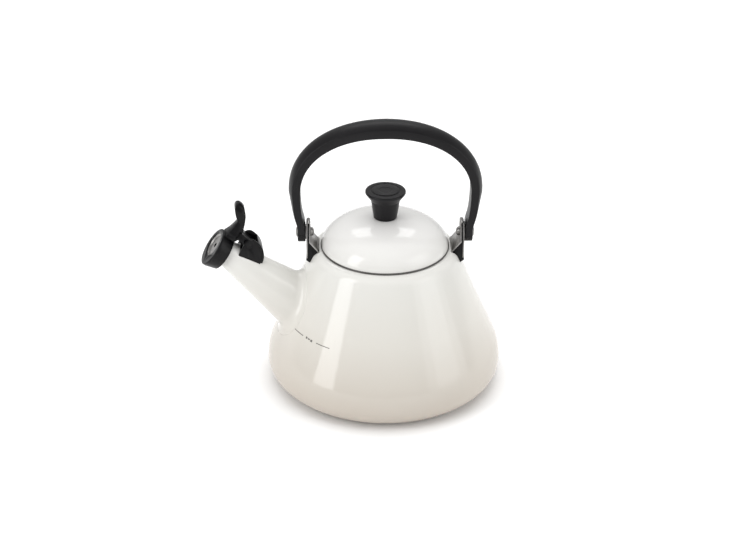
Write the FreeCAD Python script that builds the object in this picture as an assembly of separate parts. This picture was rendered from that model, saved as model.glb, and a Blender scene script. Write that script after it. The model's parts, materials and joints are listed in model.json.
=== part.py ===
"""Stovetop whistling kettle: enamelled conical body, lift-off lid, folding handle, flip-up whistle.

Millimetres. The origin is the centre of the flat base on the surface it stands on, +Z is up.
The handle stands in the XZ plane. The spout points to -X, swung a little towards -Y.
"""
import FreeCAD
import Part
import math
import os

V = FreeCAD.Vector
X = V(1, 0, 0)
Y = V(0, 1, 0)
Z = V(0, 0, 1)
O = V(0, 0, 0)

# ---- body shell and base ----
BODY_R = 96.5
WIDEST_Z = 17.7
BASE_R = 74.1
BELLY_R = 50.6
CONE_HALF_ANGLE = 23.2
RIM_Z = 118.6
SHOULDER_R = 9.5
NECK_ROUND = 2.0
NECK_DEPTH = 8.0
SHEET = 1.2
SEAM_Z = 6.0
SEAM_LAP = 6.0
RIM_FLAT = 0.2418
WELD_GAP = 0.05

# the body's side is a belly arc, a straight cone and a shoulder arc, each tangent to the next
SIN_CONE = math.sin(math.radians(CONE_HALF_ANGLE))
COS_CONE = math.cos(math.radians(CONE_HALF_ANGLE))
BELLY_CENTRE = V(BODY_R - BELLY_R, 0, WIDEST_Z)
CONE_LEVEL = BELLY_CENTRE.x * COS_CONE + BELLY_CENTRE.z * SIN_CONE + BELLY_R
SHOULDER_CENTRE = V(
    (CONE_LEVEL - SHOULDER_R - SIN_CONE * (RIM_Z - SHOULDER_R)) / COS_CONE, 0, RIM_Z - SHOULDER_R)
MOUTH_R = SHOULDER_CENTRE.x - RIM_FLAT - NECK_ROUND

# ---- spout: its axis crosses the cone near SPOUT_ROOT_Z ----
SPOUT_SWING = 7.0
SPOUT_RISE = 41.0
SPOUT_ROOT_Z = 76.8
SPOUT_ROOT_OUT = 2.3786
SPOUT_ROOT_RADIUS = (CONE_LEVEL - SPOUT_ROOT_Z * SIN_CONE) / COS_CONE + SPOUT_ROOT_OUT
SPOUT_LENGTH = 71.5
SPOUT_MOUTH_R = 9.7
SPOUT_HALF_ANGLE = 9.5
MOUTH_TILT = 5.0

# ---- lid ----
LID_OVERHANG = 2.3
LID_R = MOUTH_R + LID_OVERHANG
LID_EDGE_H = 1.2
LID_EDGE_Z = RIM_Z + LID_EDGE_H
LID_RISE = 24.4
LID_TOP_Z = LID_EDGE_Z + LID_RISE
DOME_POWER = 2.3
LID_SHEET = 1.0
DOME_STEPS = 14
LID_TRIM_H = 1.5
LID_TRIM_T = 0.5
LID_SEAT_GAP = 0.1
COLLAR_GAP = 0.5
COLLAR_DEPTH = 7.0
COLLAR_SHEET = 0.8

# ---- knob ----
KNOB_HEIGHT = 24.1
KNOB_TOP_Z = LID_TOP_Z + KNOB_HEIGHT
KNOB_LIP_R = 16.3
KNOB_LIP_H = 8.3
KNOB_CROWN = 0.6
KNOB_EDGE = 1.1
KNOB_NECK_R = 11.7
KNOB_FOOT_R = 9.4
KNOB_SCREW_R = 2.0
KNOB_SCREW_DEPTH = 14.0
SCREW_HEAD_R = 3.6
SCREW_HEAD_H = 2.4
THREAD_GAP = 0.05
WASHER_R = 7.0
WASHER_T = 0.8

# ---- brackets, heat guards, pivots ----
BRACKET_W = 24.5
BRACKET_SHEET = 1.0
BRACKET_OUT = 8.7582
BRACKET_INNER_X = SHOULDER_CENTRE.x + BRACKET_OUT
FLANGE_REACH = 7.2
BRACKET_FLANGE_ANGLE = 51.0
PIVOT_H = 12.5
PIVOT_Z = RIM_Z + PIVOT_H
RIVET_R = 2.5
RIVET_HEAD_RIM = 1.9
RIVET_HEAD_R = RIVET_R + RIVET_HEAD_RIM
RIVET_TAIL_RIM = 1.0
RIVET_TAIL_R = RIVET_R + RIVET_TAIL_RIM
SPRING_RIM = 1.3
SPRING_R = RIVET_R + SPRING_RIM
SPACER_RIM = 3.5
SPACER_R = RIVET_R + SPACER_RIM
BEND_GAP = 0.1
BRACKET_BEND_Z = PIVOT_Z - SPRING_R - BEND_GAP
BRACKET_TOP_H = 8.7
BRACKET_TOP_Z = PIVOT_Z + BRACKET_TOP_H
BRACKET_TOP_W = 9.0
FOLD_GAP = 1.3
BRACKET_OUTER_X = BRACKET_INNER_X + 2 * BRACKET_SHEET + FOLD_GAP
OUTER_PLATE_DROP = 5.6
OUTER_PLATE_LOW_Z = RIM_Z - OUTER_PLATE_DROP
GUARD_LEDGE = 0.2
GUARD_OUTER_X = BRACKET_OUTER_X + GUARD_LEDGE
GUARD_FOOT = 1.8
GUARD_LOW_Z = OUTER_PLATE_LOW_Z - GUARD_FOOT
GUARD_HEEL = 2.6
GUARD_GAP = 0.1
RIVET_HEAD_H = 1.7
PIVOT_GAP = 0.06
SPRING_T = 0.5
SPRING_DISH = 0.7
SPACER_T = 0.7

# ---- handle ----
LEG_INNER_X = BRACKET_OUTER_X + SPACER_T
LEG_T = 6.3
LEG_DEPTH = 16.2
LEG_CROWN = 0.3
LEG_STEP = 0.2
BOW_SPREAD = 3.7
BOW_HALF_W = LEG_INNER_X + BOW_SPREAD
BOW_RISE = 48.8
LEG_RISE = 36.9
BOW_WIDEST_Z = PIVOT_Z + LEG_RISE
BOW_POWER = 2.15
GRIP_T = 7.8
GRIP_CROWN = 3.8
GRIP_DEPTH = 22.0
SIDE_T = 6.3
SIDE_CROWN = 3.1
SIDE_DEPTH = 19.4

# ---- whistle clip, in the spout's own frame: s along it from its root, n up from its axis ----
MOUTH_TO_PIN = 13.0
PIN_S = SPOUT_LENGTH - MOUTH_TO_PIN
PIN_ABOVE_MOUTH = 8.1
PIN_N = SPOUT_MOUTH_R + PIN_ABOVE_MOUTH
CLIP_BACK = 16.5
CLIP_BACK_S = PIN_S - CLIP_BACK
CLIP_FRONT = 4.9
CLIP_FRONT_S = PIN_S + CLIP_FRONT
PIN_TO_CLIP_LOW = 10.8
CLIP_LOW_N = PIN_N - PIN_TO_CLIP_LOW
FIN_FOOT = 2.5
FIN_FOOT_S = PIN_S + FIN_FOOT
FIN_TOP = 6.5
FIN_TOP_N = PIN_N + FIN_TOP
HOOD_T = 2.2
HOOD_BULGE = 1.6
HOOD_END = 4.1
CLIP_FLOOR_T = 1.4
CHEEK_OUT = 9.4
CHEEK_T = 2.2
PIN_R = 1.4
PIN_GAP = 0.05
BARREL_R = 3.1
ARM_GAP = 0.4
STUD_BACK = 7.5
STUD_S = PIN_S - STUD_BACK
STUD_R = 1.5
STUD_H = 4.6
NUT_FLATS = 5.0
NUT_H = 1.8

# ---- whistle cap, measured from the mouth's plane ----
CAP_CLEARANCE = 3.1
CAP_BORE_R = SPOUT_MOUTH_R + CAP_CLEARANCE
CAP_WALL = 3.4
CAP_R = CAP_BORE_R + CAP_WALL
CAP_BACK_WALL = 1.6
CAP_BACK_R = CAP_BORE_R + CAP_BACK_WALL
CAP_FACE = 8.0
CAP_SKIRT = 3.2
CAP_DROP = 1.9
DISC_DROP = -0.4
SEAT_GAP = 0.2
FACE_ROUND = 1.0
OUTER_DISC_R = 10.0
INNER_DISC_R = 9.4
CHAMBER_R = 8.2
DISC_T = 0.5
DISC_GAP = 0.05
OUTER_DISC_DEPTH = 1.9
SOUND_HOLE_R = 1.9
INNER_HOLE_R = 1.6
LEVER_BASE_W = 13.0
LEVER_WAIST_W = 6.4
LEVER_LEAF_W = 10.2
PIN_TO_ARM_UNDER = 1.4
ARM_T = 5.8


# ---- drawing helpers ----
def line(a, b):
    return Part.LineSegment(a, b).toShape()


def arc(a, middle, b):
    return Part.Arc(a, middle, b).toShape()


def rz(radius, height):
    return V(radius, 0, height)


def by_pin(along, up):
    """A point placed from the whistle's hinge pin, in the spout's frame."""
    return rz(PIN_S + along, PIN_N + up)


def on_circle(centre, radius, degrees):
    angle = math.radians(degrees)
    return rz(centre.x + radius * math.cos(angle), centre.z + radius * math.sin(angle))


def round_arc(centre, radius, start, end):
    """Arc in the XZ plane from one angle to another, in degrees from +X towards +Z."""
    middle = (start + end) / 2
    return arc(on_circle(centre, radius, start), on_circle(centre, radius, middle),
               on_circle(centre, radius, end))


def polygon(points):
    edges = []
    for first, second in zip(points, points[1:] + points[:1]):
        edges.append(line(first, second))
    return edges


def spin(edges):
    """Solid of revolution about Z from closed edges in the XZ plane."""
    face = Part.Face(Part.Wire(Part.__sortEdges__(edges)))
    return face.revolve(O, Z, 360)


def slab(edges, direction, start):
    """Closed outline pushed from start along direction."""
    face = Part.Face(Part.Wire(Part.__sortEdges__(edges)))
    face.translate(start)
    return face.extrude(direction)


def rod(radius, start, direction, length):
    return Part.makeCylinder(radius, length, start, direction)


def mirrored(shape):
    """The same piece on the other side of the kettle."""
    return shape.mirror(O, X)


# ---- the body's outline, at any depth below the outer surface ----
def base_corner(depth):
    """Quarter ellipse from the flat base up to the widest point."""
    wide = BODY_R - BASE_R - depth
    tall = WIDEST_Z - depth
    centre = rz(BASE_R, WIDEST_Z)
    half = math.sqrt(0.5)
    if wide > tall:
        shape = Part.Ellipse(centre + V(wide, 0, 0), centre + V(0, 0, -tall), centre)
    else:
        shape = Part.Ellipse(centre + V(0, 0, -tall), centre + V(wide, 0, 0), centre)
    start = shape.parameter(centre + V(0, 0, -tall))
    end = shape.parameter(centre + V(wide, 0, 0))
    middle = shape.parameter(centre + V(wide * half, 0, -tall * half))
    if start > end:
        start, end = end, start
    if not start < middle < end:
        start, end = end, start + 2 * math.pi
    return Part.ArcOfEllipse(shape, start, end).toShape()


def body_outline(depth):
    """Edges from the axis at the base, round the outside, to the top of the shoulder."""
    belly_end = on_circle(BELLY_CENTRE, BELLY_R - depth, CONE_HALF_ANGLE)
    shoulder_start = on_circle(SHOULDER_CENTRE, SHOULDER_R - depth, CONE_HALF_ANGLE)
    return [
        line(rz(0, depth), rz(BASE_R, depth)),
        base_corner(depth),
        round_arc(BELLY_CENTRE, BELLY_R - depth, 0, CONE_HALF_ANGLE),
        line(belly_end, shoulder_start),
        round_arc(SHOULDER_CENTRE, SHOULDER_R - depth, CONE_HALF_ANGLE, 90),
    ]


def filled_body(depth):
    top = RIM_Z - depth
    closing = [line(rz(SHOULDER_CENTRE.x, top), rz(0, top)), line(rz(0, top), rz(0, depth))]
    return spin(body_outline(depth) + closing)


def band(low, high):
    """Everything between two heights."""
    size = 4 * BODY_R
    return Part.makeBox(size, size, high - low, V(-size / 2, -size / 2, low))


# ---- the spout's own frame: x along its axis, z up from it, y across towards -Y ----
SPOUT_TAN = math.tan(math.radians(SPOUT_HALF_ANGLE))


def spout_radius(s):
    return SPOUT_MOUTH_R + (SPOUT_LENGTH - s) * SPOUT_TAN


def from_spout_frame(shape):
    """Put a shape drawn in the spout's frame where the spout stands."""
    placed = shape.copy()
    placed.rotate(O, Y, -SPOUT_RISE)
    placed.translate(V(SPOUT_ROOT_RADIUS, 0, SPOUT_ROOT_Z))
    placed.rotate(O, Z, 180 + SPOUT_SWING)
    return placed


def from_mouth_frame(shape):
    """Put a shape drawn about the mouth, z out of it and x down, into the spout's frame."""
    placed = shape.copy()
    placed.rotate(O, Y, 90 + MOUTH_TILT)
    placed.translate(V(SPOUT_LENGTH, 0, 0))
    return placed


def spout_cone(depth, start, end):
    """Solid cone at a depth below the spout's outer surface, in the spout's frame."""
    inset = depth / math.cos(math.radians(SPOUT_HALF_ANGLE))
    return Part.makeCone(spout_radius(start) - inset, spout_radius(end) - inset, end - start,
                         V(start, 0, 0), X)


def beyond_mouth():
    """Everything past the mouth's tilted plane, in the spout's frame."""
    reach = 3 * SPOUT_MOUTH_R
    return from_mouth_frame(Part.makeBox(2 * reach, 2 * reach, reach, V(-reach, -reach, 0)))


def spout_bore():
    """The space inside the spout, from well inside the body to the mouth."""
    return from_spout_frame(spout_cone(SHEET, -SPOUT_ROOT_RADIUS / 4, SPOUT_LENGTH + 5))


def make_body_shell():
    neck_centre = rz(MOUTH_R + NECK_ROUND, RIM_Z - NECK_ROUND)
    neck_low = RIM_Z - NECK_DEPTH
    outside = body_outline(0) + [
        line(rz(SHOULDER_CENTRE.x, RIM_Z), rz(neck_centre.x, RIM_Z)),
        round_arc(neck_centre, NECK_ROUND, 90, 180),
        line(rz(MOUTH_R, neck_centre.z), rz(MOUTH_R, neck_low)),
        line(rz(MOUTH_R, neck_low), rz(MOUTH_R + SHEET, neck_low)),
    ]
    inside = body_outline(SHEET) + [
        line(rz(SHOULDER_CENTRE.x, RIM_Z - SHEET), rz(neck_centre.x, RIM_Z - SHEET)),
        round_arc(neck_centre, NECK_ROUND - SHEET, 90, 180),
        line(rz(MOUTH_R + SHEET, neck_centre.z), rz(MOUTH_R + SHEET, neck_low)),
        line(rz(0, 0), rz(0, SHEET)),
    ]
    shell = spin(outside + inside).common(band(SEAM_Z, RIM_Z + 1))
    return shell.cut(spout_bore())


def make_base_pan():
    lower = filled_body(0).cut(filled_body(SHEET)).common(band(0, SEAM_Z))
    lap_wall = filled_body(SHEET + WELD_GAP).cut(filled_body(2 * SHEET))
    lap_wall = lap_wall.common(band(SEAM_Z - SHEET, SEAM_Z + SEAM_LAP))
    step = filled_body(SHEET / 2).cut(filled_body(2 * SHEET))
    step = step.common(band(SEAM_Z - SHEET, SEAM_Z))
    return lower.fuse([lap_wall, step]).removeSplitter()


def make_spout():
    outer = spout_cone(0, -SPOUT_ROOT_RADIUS / 4, SPOUT_LENGTH + 5).cut(beyond_mouth())
    return from_spout_frame(outer).cut(spout_bore()).cut(filled_body(0))


# ---- lid ----
def dome_height(radius_from_axis, depth):
    """Height of the dome, a little fuller than half an ellipsoid, at a distance from its axis."""
    rise = LID_TOP_Z - LID_EDGE_Z - depth
    return LID_EDGE_Z + rise * math.sqrt(1 - (radius_from_axis / (LID_R - depth)) ** DOME_POWER)


def dome_edge(depth, from_radius):
    """Smooth curve from the lid's edge up to the hole at the middle."""
    wide = LID_R - depth
    reach = math.acos(from_radius / wide)
    points = []
    for step in range(DOME_STEPS):
        radius = wide * math.cos(reach * step / DOME_STEPS)
        points.append(rz(radius, dome_height(radius, depth)))
    points.append(rz(from_radius, dome_height(from_radius, depth)))
    curve = Part.BSplineCurve()
    curve.interpolate(points)
    return curve.toShape()


def make_lid_shell():
    hole = KNOB_SCREW_R + THREAD_GAP
    edge = rz(LID_R, LID_EDGE_Z)
    trim_low = RIM_Z + LID_SEAT_GAP + LID_TRIM_T
    inner_r = LID_R - LID_SHEET
    inner_edge = rz(inner_r, LID_EDGE_Z)
    return spin([
        dome_edge(0, hole),
        line(rz(hole, dome_height(hole, 0)), rz(hole, dome_height(hole, LID_SHEET))),
        dome_edge(LID_SHEET, hole),
        line(inner_edge, rz(inner_r, trim_low)),
        line(rz(inner_r, trim_low), rz(LID_R, trim_low)),
        line(rz(LID_R, trim_low), edge),
    ])


def make_lid_rim():
    """Band crimped round the lid's edge: a wall outside it and a flange under it."""
    low = RIM_Z + LID_SEAT_GAP
    inside = LID_R + WELD_GAP
    outside = inside + LID_TRIM_T
    flange = low + LID_TRIM_T - WELD_GAP
    return spin(polygon([
        rz(MOUTH_R, low), rz(outside, low), rz(outside, low + LID_TRIM_H),
        rz(inside, low + LID_TRIM_H), rz(inside, flange), rz(MOUTH_R, flange)]))


def make_lid_collar():
    """Pressed ring: a flange and lip tacked inside the lid's edge, a wall dropping into the mouth."""
    outside = MOUTH_R - COLLAR_GAP
    inside = outside - COLLAR_SHEET
    low = RIM_Z - COLLAR_DEPTH
    tack_r = LID_R - LID_SHEET - WELD_GAP
    flange = RIM_Z + LID_SEAT_GAP + LID_TRIM_T
    lip_top = LID_EDGE_Z + COLLAR_SHEET
    tack_r_high = tack_r - COLLAR_SHEET / 10
    return spin(polygon([
        rz(inside, low), rz(outside, low), rz(outside, flange), rz(tack_r, flange),
        rz(tack_r, LID_EDGE_Z), rz(tack_r_high - 2 * WELD_GAP, lip_top),
        rz(inside + COLLAR_SHEET, lip_top), rz(inside + COLLAR_SHEET, flange + COLLAR_SHEET),
        rz(inside, flange + COLLAR_SHEET)]))


def knob_foot_z():
    """The foot's inner edge rests on the dome."""
    return dome_height(KNOB_FOOT_R - KNOB_EDGE, 0)


def make_lid_knob():
    """Neck tapering to a rounded foot, flaring to a lip, with a slightly crowned top."""
    foot = knob_foot_z() + WELD_GAP
    flare = KNOB_TOP_Z - KNOB_LIP_H
    hole = KNOB_SCREW_R + THREAD_GAP
    seat = LID_TOP_Z + WELD_GAP
    hole_top = LID_TOP_Z + KNOB_SCREW_DEPTH
    crown_end = rz(KNOB_LIP_R - KNOB_EDGE, KNOB_TOP_Z - KNOB_CROWN)
    lip_end = rz(KNOB_LIP_R - KNOB_EDGE / 4, crown_end.z - 1.7 * KNOB_EDGE)
    foot_start = rz(KNOB_FOOT_R + 0.2, foot + KNOB_EDGE)
    foot_end = rz(KNOB_FOOT_R - KNOB_EDGE, foot)
    recess = rz(KNOB_FOOT_R - 2 * KNOB_EDGE, seat)
    neck_end = rz(KNOB_NECK_R, flare - KNOB_EDGE)
    return spin([
        line(rz(hole, seat), rz(hole, hole_top)),
        line(rz(hole, hole_top), rz(0, hole_top)),
        line(rz(0, hole_top), rz(0, KNOB_TOP_Z)),
        line(rz(0, KNOB_TOP_Z), rz(KNOB_LIP_R / 4, KNOB_TOP_Z)),
        arc(rz(KNOB_LIP_R / 4, KNOB_TOP_Z), rz(0.6 * KNOB_LIP_R, KNOB_TOP_Z - KNOB_CROWN / 4), crown_end),
        arc(crown_end, rz(KNOB_LIP_R, crown_end.z - KNOB_EDGE), lip_end),
        line(lip_end, rz(KNOB_NECK_R + KNOB_EDGE / 2, flare)),
        line(rz(KNOB_NECK_R + KNOB_EDGE / 2, flare), neck_end),
        line(neck_end, foot_start),
        line(foot_start, foot_end),
        line(foot_end, recess),
        line(recess, rz(hole, seat)),
    ])


def make_knob_washer():
    """Flat washer, its rim against the inside of the dome."""
    top = dome_height(WASHER_R, LID_SHEET) - WELD_GAP
    hole = KNOB_SCREW_R + THREAD_GAP
    return spin(polygon([
        rz(hole, top - WASHER_T), rz(WASHER_R, top - WASHER_T), rz(WASHER_R, top), rz(hole, top)]))


def make_knob_screw():
    head_top = dome_height(WASHER_R, LID_SHEET) - WELD_GAP - WASHER_T
    tip = LID_TOP_Z + KNOB_SCREW_DEPTH - 1
    return spin(polygon([
        rz(0, head_top - SCREW_HEAD_H), rz(SCREW_HEAD_R - 0.6, head_top - SCREW_HEAD_H),
        rz(SCREW_HEAD_R, head_top - SCREW_HEAD_H + 0.8), rz(SCREW_HEAD_R, head_top),
        rz(KNOB_SCREW_R, head_top), rz(KNOB_SCREW_R, tip), rz(0, tip)]))


# ---- handle: a bow lofted through sections across its length ----
def bow_station(share):
    """Section of the arch, from 0 at the side to 1 at the top: inner point, angle and sizes."""
    turn = math.radians(90 * share)
    across = math.cos(turn) ** (2 / BOW_POWER)
    up = math.sin(turn) ** (2 / BOW_POWER)
    inner = rz(BOW_HALF_W * across, BOW_WIDEST_Z + BOW_RISE * up)
    lean_x = across ** (BOW_POWER - 1) / BOW_HALF_W
    lean_z = up ** (BOW_POWER - 1) / BOW_RISE
    degrees = math.degrees(math.atan2(lean_z, lean_x))
    thickness = SIDE_T + (GRIP_T - SIDE_T) * share
    crown = SIDE_CROWN + (GRIP_CROWN - SIDE_CROWN) * share
    depth = SIDE_DEPTH + (GRIP_DEPTH - SIDE_DEPTH) * share
    return inner, degrees, thickness, crown, depth


def leg_station(share, inner_x, degrees):
    """Section of the leg, from 0 at the pivot to 1 where the arch begins."""
    inner = rz(inner_x, PIVOT_Z + (BOW_WIDEST_Z - PIVOT_Z) * share)
    crown = LEG_CROWN + (SIDE_CROWN - LEG_CROWN) * share ** 1.5
    depth = LEG_DEPTH + (SIDE_DEPTH - LEG_DEPTH) * share ** 0.5
    return inner, degrees, LEG_T - LEG_CROWN - LEG_STEP * (1 - share), crown, depth


def bow_section(inner, degrees, thickness, crown, depth, side):
    """Closed section on one side (+1 or -1): flat inner face, two flat edges, crowned outside."""
    angle = math.radians(degrees)
    out = V(side * math.cos(angle), 0, math.sin(angle))
    start = V(side * inner.x, 0, inner.z)
    half = V(0, depth / 2, 0)
    ridge = start + out * thickness
    crest = start + out * (thickness + crown)
    return Part.Wire([
        line(start - half, start + half),
        line(start + half, ridge + half),
        arc(ridge + half, crest, ridge - half),
        line(ridge - half, start - half),
    ])


def make_handle_bow():
    stations = [
        leg_station(0, LEG_INNER_X, 0),
        leg_station(0.12, LEG_INNER_X + 0.1, -3),
        leg_station(0.27, LEG_INNER_X + 0.8, -9),
        leg_station(0.42, LEG_INNER_X + 2.2, -9),
        leg_station(0.6, LEG_INNER_X + 3.1, -4),
        leg_station(0.8, LEG_INNER_X + 3.6, -1),
    ]
    for share in (0, 0.16, 0.32, 0.48, 0.64, 0.8, 0.92):
        stations.append(bow_station(share))
    sections = [bow_section(*station, 1) for station in stations]
    sections.append(bow_section(*bow_station(1), 1))
    for station in reversed(stations):
        sections.append(bow_section(*station, -1))
    bow = Part.makeLoft(sections, True, False)
    leg_end = rod(LEG_DEPTH / 2, V(LEG_INNER_X, 0, PIVOT_Z), X, LEG_T)
    bore = rod(RIVET_R + PIVOT_GAP, V(LEG_INNER_X - 1, 0, PIVOT_Z), X, LEG_T + 2)
    bow = bow.fuse([leg_end, mirrored(leg_end)])
    return bow.cut(bore).cut(mirrored(bore))


# ---- bracket and its heat guard, drawn for +X ----
def bracket_front_outline():
    """The strip seen along X: full width at the flange, narrowing to the fold at the top."""
    wide = BRACKET_W / 2
    narrow = BRACKET_TOP_W / 2
    low = GUARD_LOW_Z - 20
    high = BRACKET_TOP_Z + 5
    taper_z = BRACKET_BEND_Z + 1
    points = [V(0, -wide, low), V(0, wide, low), V(0, wide, taper_z), V(0, narrow, BRACKET_TOP_Z),
              V(0, narrow, high), V(0, -narrow, high), V(0, -narrow, BRACKET_TOP_Z),
              V(0, -wide, taper_z)]
    return slab(polygon(points), X * 60, X * 40)


def flange_end():
    """Where the flange's inner face meets the shoulder, on the XZ plane."""
    slope = math.radians(BRACKET_FLANGE_ANGLE)
    return rz(BRACKET_INNER_X - FLANGE_REACH, BRACKET_BEND_Z - FLANGE_REACH * math.tan(slope))


def bracket_profile():
    """Flange and inner plate seen along Y."""
    end = flange_end()
    inner = BRACKET_INNER_X
    sheet = BRACKET_SHEET
    slope = math.radians(BRACKET_FLANGE_ANGLE)
    drop = sheet / math.cos(slope) - sheet * math.tan(slope)
    return [
        end, rz(inner, BRACKET_BEND_Z), rz(inner, BRACKET_TOP_Z), rz(inner + sheet, BRACKET_TOP_Z),
        rz(inner + sheet, BRACKET_BEND_Z - drop), rz(end.x, end.z - sheet / math.cos(slope))]


def make_bracket():
    half = V(0, BRACKET_W / 2 + 1, 0)
    strip = slab(polygon(bracket_profile()), half * 2, half * -1)
    fold_r = (BRACKET_OUTER_X - BRACKET_INNER_X) / 2
    fold_centre = V(BRACKET_INNER_X + fold_r, -half.y, BRACKET_TOP_Z)
    fold = rod(fold_r, fold_centre, Y, 2 * half.y)
    fold = fold.cut(rod(fold_r - BRACKET_SHEET, fold_centre, Y, 2 * half.y))
    fold = fold.common(band(BRACKET_TOP_Z, BRACKET_TOP_Z + 2 * fold_r))
    outer = Part.makeBox(BRACKET_SHEET, 2 * half.y, BRACKET_TOP_Z - OUTER_PLATE_LOW_Z,
                         V(BRACKET_OUTER_X - BRACKET_SHEET, -half.y, OUTER_PLATE_LOW_Z))
    bracket = strip.fuse([fold, outer]).common(bracket_front_outline())
    hole = rod(RIVET_R + PIVOT_GAP, V(BRACKET_INNER_X - 1, 0, PIVOT_Z), X, 10)
    return bracket.cut(hole).cut(filled_body(0)).removeSplitter()


def make_heat_guard():
    """Moulded wedge between the flange, the cone and the leg, with a tongue in the fold."""
    slope = math.tan(math.radians(BRACKET_FLANGE_ANGLE))
    sheet_down = BRACKET_SHEET / math.cos(math.radians(BRACKET_FLANGE_ANGLE))
    tongue_in = BRACKET_INNER_X + BRACKET_SHEET + GUARD_GAP
    tongue_out = BRACKET_OUTER_X - BRACKET_SHEET - GUARD_GAP
    start = flange_end()
    under = start.z - sheet_down - GUARD_GAP
    bend_z = under + (tongue_in - start.x) * slope
    step_z = OUTER_PLATE_LOW_Z - GUARD_GAP
    outline = [
        rz(start.x, under), rz(tongue_in, bend_z), rz(tongue_in, BRACKET_TOP_Z - GUARD_GAP),
        rz(tongue_out, BRACKET_TOP_Z - GUARD_GAP), rz(tongue_out, step_z), rz(GUARD_OUTER_X, step_z),
        rz(GUARD_OUTER_X, GUARD_LOW_Z), rz(tongue_in - BRACKET_SHEET, GUARD_LOW_Z - GUARD_HEEL),
        rz(start.x, GUARD_LOW_Z - GUARD_HEEL)]
    half = V(0, BRACKET_W / 2 + 1, 0)
    guard = slab(polygon(outline), half * 2, half * -1).common(bracket_front_outline())
    guard = guard.cut(filled_body(-GUARD_GAP))
    return guard.cut(rod(RIVET_R + PIVOT_GAP, V(BRACKET_INNER_X - 1, 0, PIVOT_Z), X, 10))


def along_pivot(edges):
    """Solid of revolution about the handle's pivot, from edges in XZ with x as the radius."""
    turned = spin(edges)
    turned.rotate(O, Y, 90)
    turned.translate(V(0, 0, PIVOT_Z))
    return turned


RIVET_TAIL_X = BRACKET_INNER_X - SPRING_T - SPRING_DISH
LEG_OUTER_X = LEG_INNER_X + LEG_T


def make_pivot_rivet():
    """Domed head outside the leg, shank through all, upset head on the spring washer."""
    head_x = LEG_OUTER_X + PIVOT_GAP
    head_top = head_x + RIVET_HEAD_H
    tail_x = RIVET_TAIL_X - PIVOT_GAP
    tail_top = tail_x - RIVET_HEAD_H
    flat_r = RIVET_HEAD_R / 4
    return along_pivot([
        line(rz(0, tail_top), rz(flat_r, tail_top)),
        arc(rz(flat_r, tail_top), rz(0.7 * RIVET_TAIL_R, tail_top + RIVET_HEAD_H / 4),
            rz(RIVET_TAIL_R, tail_x)),
        line(rz(RIVET_TAIL_R, tail_x), rz(RIVET_R, tail_x)),
        line(rz(RIVET_R, tail_x), rz(RIVET_R, head_x)),
        line(rz(RIVET_R, head_x), rz(RIVET_HEAD_R, head_x)),
        arc(rz(RIVET_HEAD_R, head_x), rz(0.7 * RIVET_HEAD_R, head_top - RIVET_HEAD_H / 4),
            rz(flat_r, head_top)),
        line(rz(flat_r, head_top), rz(0, head_top)),
        line(rz(0, head_top), rz(0, tail_top)),
    ])


def make_spring_washer():
    """Dished washer, its rim on the bracket and its middle under the rivet's upset head."""
    hole = RIVET_R + PIVOT_GAP
    rim_x = BRACKET_INNER_X - WELD_GAP
    return along_pivot(polygon([
        rz(hole, RIVET_TAIL_X), rz(hole + 0.8, RIVET_TAIL_X), rz(SPRING_R, rim_x - SPRING_T),
        rz(SPRING_R, rim_x), rz(SPRING_R - 0.3, rim_x), rz(hole, RIVET_TAIL_X + SPRING_T)]))


def make_spacer_washer():
    hole = RIVET_R + PIVOT_GAP
    inside = BRACKET_OUTER_X + WELD_GAP
    outside = LEG_INNER_X - PIVOT_GAP
    return along_pivot(polygon([
        rz(hole, inside), rz(SPACER_R, inside), rz(SPACER_R, outside), rz(hole, outside)]))


# ---- whistle clip, drawn in the spout's frame ----
def fin_outline(bulge):
    """Side view of a cheek: steep front, rounded top at the pin, back sloping to the spout."""
    top = FIN_TOP_N + bulge / 4
    back = CLIP_BACK_S - bulge
    return [
        line(rz(FIN_FOOT_S, 0), rz(FIN_FOOT_S, CLIP_LOW_N)),
        line(rz(FIN_FOOT_S, CLIP_LOW_N), rz(CLIP_FRONT_S, PIN_N)),
        arc(rz(CLIP_FRONT_S, PIN_N), rz(CLIP_FRONT_S - 2.3, top - 0.6), rz(PIN_S - 1.0, top)),
        arc(rz(PIN_S - 1.0, top), by_pin(-9.9 - 0.8 * bulge, 3 + 0.6 * bulge), rz(back + 0.5, PIN_N - 5.2)),
        line(rz(back + 0.5, PIN_N - 5.2), rz(back, PIN_N - 8.8)),
        line(rz(back, PIN_N - 8.8), rz(back, 0)),
        line(rz(back, 0), rz(FIN_FOOT_S, 0)),
    ]


def hood_inside():
    """Space between the cheeks, left open at the front and top for the arm."""
    width = 2 * (CHEEK_OUT - CHEEK_T)
    back = CLIP_BACK_S + HOOD_T
    beyond = CLIP_FRONT_S + 10
    outline = [
        rz(back, 0), rz(back, PIN_N - 6.4), by_pin(-9.6, 0.4), by_pin(-HOOD_END, 3.6),
        rz(PIN_S - HOOD_END, PIN_S), rz(beyond, PIN_S), rz(beyond, 0)]
    return slab(polygon(outline), V(0, width, 0), V(0, -width / 2, 0))


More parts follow.
